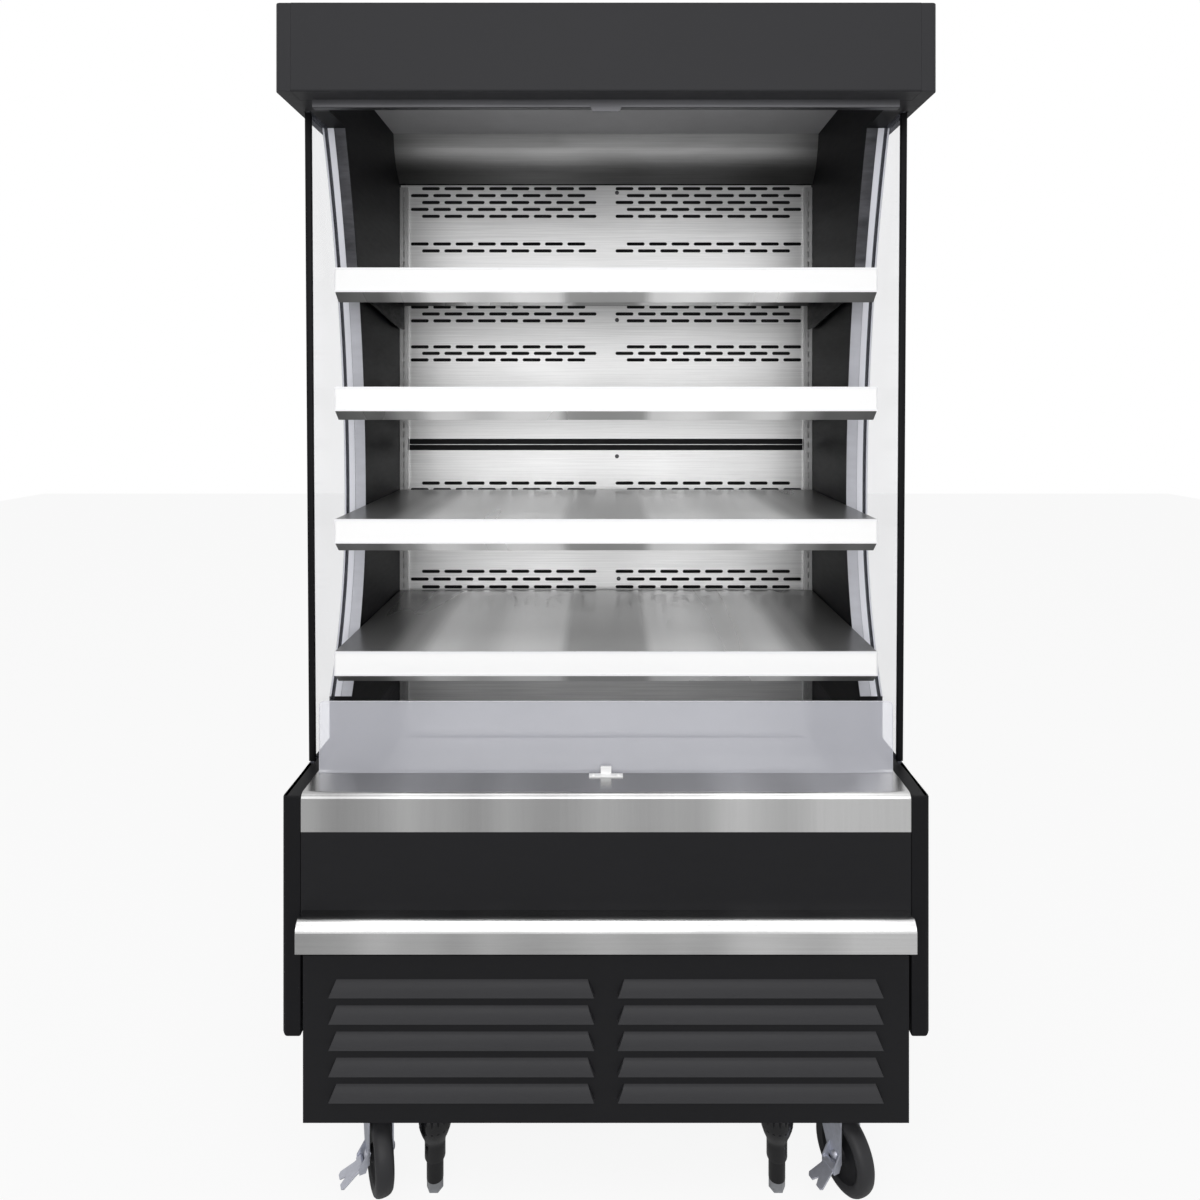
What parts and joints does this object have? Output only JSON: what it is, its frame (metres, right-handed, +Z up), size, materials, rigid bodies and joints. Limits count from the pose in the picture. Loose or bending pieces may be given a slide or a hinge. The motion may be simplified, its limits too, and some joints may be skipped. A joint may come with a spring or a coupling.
{
  "type": "open multideck display fridge",
  "caption": "Open-front upright display fridge with tilting shelves, side glass, night curtain, louvred machine bay, swivel casters and levelling feet.",
  "frame": {"origin": "on the floor, under the middle of the cabinet's overall box", "axes": "+Z up, front towards -Y, +X to the right when looking at the front"},
  "size_m": [1.124, 0.775, 2.05],
  "materials": {
    "insulated_black": "satin",
    "insulated_body": "satin",
    "canopy_paint": "satin",
    "apron_paint": "satin",
    "louver_paint": "satin",
    "chassis_paint": "satin",
    "ceiling_paint": "satin",
    "stainless": "satin",
    "dark_stainless": "satin",
    "sill_steel": "satin",
    "bumper_steel": "satin",
    "galvanised": "matte",
    "strip_white": "satin",
    "side_glass": "gloss",
    "riser_clear": "gloss",
    "curtain_fabric": "matte",
    "curtain_metal": "satin",
    "catch_white": "satin",
    "honeycomb_plastic": "matte",
    "coil_aluminium": "matte",
    "compressor_black": "satin",
    "pipe_metal": "satin",
    "fan_plastic": "matte",
    "box_grey": "matte",
    "caster_zinc": "satin",
    "pedal_steel": "satin",
    "wheel_rubber": "matte",
    "foot_chrome": "polished"
  },
  "bodies": {
    "cabinet": {"left_end_panel": "insulated_black", "right_end_panel": "insulated_black", "left_side_wall": "insulated_black", "right_side_wall": "insulated_black", "insulated_tub": "insulated_body", "rear_wall": "insulated_body", "top_panel": "insulated_body", "canopy_fascia": "canopy_paint", "canopy_end_caps": "canopy_paint", "apron": "apron_paint", "louver_panel": "louver_paint", "base_frame": "chassis_paint", "ceiling_liner": "ceiling_paint", "upper_back_panel": "stainless", "lower_back_panel": "stainless", "shelf_standards": "stainless", "return_air_grille": "stainless", "air_cowl": "dark_stainless", "sill": "sill_steel", "bumper": "bumper_steel", "rear_grille": "galvanised", "condenser_fan_shroud": "galvanised", "drain_pan": "galvanised", "left_side_glass": "side_glass", "right_side_glass": "side_glass", "front_riser": "riser_clear", "curtain_catch": "catch_white", "honeycomb_grille": "honeycomb_plastic", "condenser_coil": "coil_aluminium", "evaporator_coil": "coil_aluminium", "compressor": "compressor_black", "refrigerant_lines": "pipe_metal", "blower_housing": "fan_plastic", "electrical_box": "box_grey"},
    "shelf_body_1": {"shelf_1": "stainless", "price_strip_1": "strip_white"},
    "shelf_body_2": {"shelf_2": "stainless", "price_strip_2": "strip_white"},
    "shelf_body_3": {"shelf_3": "stainless", "price_strip_3": "strip_white"},
    "shelf_body_4": {"shelf_4": "stainless", "price_strip_4": "strip_white"},
    "deck": {"deck_pan": "stainless"},
    "curtain_bar": {"curtain_pull_bar": "curtain_metal"},
    "curtain_roll": {"curtain_roller": "curtain_metal", "curtain_cloth": "curtain_fabric"},
    "blower": {"blower_rotor": "fan_plastic"},
    "condenser_fan": {"condenser_fan_blade": "fan_plastic"},
    "foot_left": {"levelling_foot_left": "foot_chrome"},
    "foot_right": {"levelling_foot_right": "foot_chrome"},
    "caster_front_left": {"caster_fork_front_left": "caster_zinc"},
    "wheel_front_left": {"caster_wheel_front_left": "wheel_rubber"},
    "caster_front_right": {"caster_fork_front_right": "caster_zinc"},
    "wheel_front_right": {"caster_wheel_front_right": "wheel_rubber"},
    "caster_rear_left": {"caster_fork_rear_left": "caster_zinc"},
    "wheel_rear_left": {"caster_wheel_rear_left": "wheel_rubber"},
    "caster_rear_right": {"caster_fork_rear_right": "caster_zinc"},
    "wheel_rear_right": {"caster_wheel_rear_right": "wheel_rubber"},
    "pedal_front_left": {"brake_pedal_front_left": "pedal_steel"},
    "pedal_front_right": {"brake_pedal_front_right": "pedal_steel"}
  },
  "joints": [
    {"name": "shelf_1_tilt", "type": "hinge", "parent": "cabinet", "child": "shelf_body_1", "pos_m": [0, 0.2665, 0.89], "axis": [-1, 0, 0], "range_deg": [0, 12]},
    {"name": "shelf_2_tilt", "type": "hinge", "parent": "cabinet", "child": "shelf_body_2", "pos_m": [0, 0.2665, 1.135], "axis": [-1, 0, 0], "range_deg": [0, 12]},
    {"name": "shelf_3_tilt", "type": "hinge", "parent": "cabinet", "child": "shelf_body_3", "pos_m": [0, 0.2665, 1.38], "axis": [-1, 0, 0], "range_deg": [0, 12]},
    {"name": "shelf_4_tilt", "type": "hinge", "parent": "cabinet", "child": "shelf_body_4", "pos_m": [0, 0.2665, 1.6005], "axis": [-1, 0, 0], "range_deg": [0, 12]},
    {"name": "deck_lift", "type": "slide", "parent": "cabinet", "child": "deck", "axis": [0, 0, 1], "range_m": [0, 0.08]},
    {"name": "curtain_pull", "type": "slide", "parent": "cabinet", "child": "curtain_bar", "axis": [0, 0, -1], "range_m": [0, 1.163], "stiffness_N_per_m": 8, "springref_m": -1.2},
    {"name": "curtain_roll_spin", "type": "hinge", "parent": "cabinet", "child": "curtain_roll", "pos_m": [0, -0.3255, 1.972], "axis": [1, 0, 0], "range_deg": [-3400, 10]},
    {"name": "blower_spin", "type": "hinge", "parent": "cabinet", "child": "blower", "pos_m": [0, 0.2215, 0.513], "axis": [1, 0, 0], "continuous": true},
    {"name": "condenser_fan_spin", "type": "hinge", "parent": "cabinet", "child": "condenser_fan", "pos_m": [-0.27, -0.2545, 0.284], "axis": [0, 1, 0], "continuous": true},
    {"name": "swivel_front_left", "type": "hinge", "parent": "cabinet", "child": "caster_front_left", "pos_m": [-0.407, -0.2845, 0.133], "axis": [0, 0, 1], "continuous": true},
    {"name": "wheel_spin_front_left", "type": "hinge", "parent": "caster_front_left", "child": "wheel_front_left", "pos_m": [-0.39643, -0.30716, 0.0635], "axis": [0.9063, 0.4226, 0], "continuous": true},
    {"name": "swivel_front_right", "type": "hinge", "parent": "cabinet", "child": "caster_front_right", "pos_m": [0.407, -0.2845, 0.133], "axis": [0, 0, 1], "continuous": true},
    {"name": "wheel_spin_front_right", "type": "hinge", "parent": "caster_front_right", "child": "wheel_front_right", "pos_m": [0.41757, -0.30716, 0.0635], "axis": [0.9063, 0.4226, 0], "continuous": true},
    {"name": "swivel_rear_left", "type": "hinge", "parent": "cabinet", "child": "caster_rear_left", "pos_m": [-0.407, 0.3075, 0.133], "axis": [0, 0, 1], "continuous": true},
    {"name": "wheel_spin_rear_left", "type": "hinge", "parent": "caster_rear_left", "child": "wheel_rear_left", "pos_m": [-0.39643, 0.28484, 0.0635], "axis": [0.9063, 0.4226, 0], "continuous": true},
    {"name": "swivel_rear_right", "type": "hinge", "parent": "cabinet", "child": "caster_rear_right", "pos_m": [0.407, 0.3075, 0.133], "axis": [0, 0, 1], "continuous": true},
    {"name": "wheel_spin_rear_right", "type": "hinge", "parent": "caster_rear_right", "child": "wheel_rear_right", "pos_m": [0.41757, 0.28484, 0.0635], "axis": [0.9063, 0.4226, 0], "continuous": true},
    {"name": "brake_front_left", "type": "hinge", "parent": "caster_front_left", "child": "pedal_front_left", "pos_m": [-0.42453, -0.32026, 0.0515], "axis": [-0.4226, 0.9063, 0], "range_deg": [0, 20]},
    {"name": "brake_front_right", "type": "hinge", "parent": "caster_front_right", "child": "pedal_front_right", "pos_m": [0.38947, -0.32026, 0.0515], "axis": [-0.4226, 0.9063, 0], "range_deg": [0, 20]},
    {"name": "foot_left_screw", "type": "slide", "parent": "cabinet", "child": "foot_left", "axis": [0, 0, -1], "range_m": [-0.01, 0.025]},
    {"name": "foot_right_screw", "type": "slide", "parent": "cabinet", "child": "foot_right", "axis": [0, 0, -1], "range_m": [-0.01, 0.025]}
  ],
  "couplings": [
    {"joint": "curtain_roll_spin", "follows": "curtain_pull", "rad_per_m": -50.505}
  ]
}
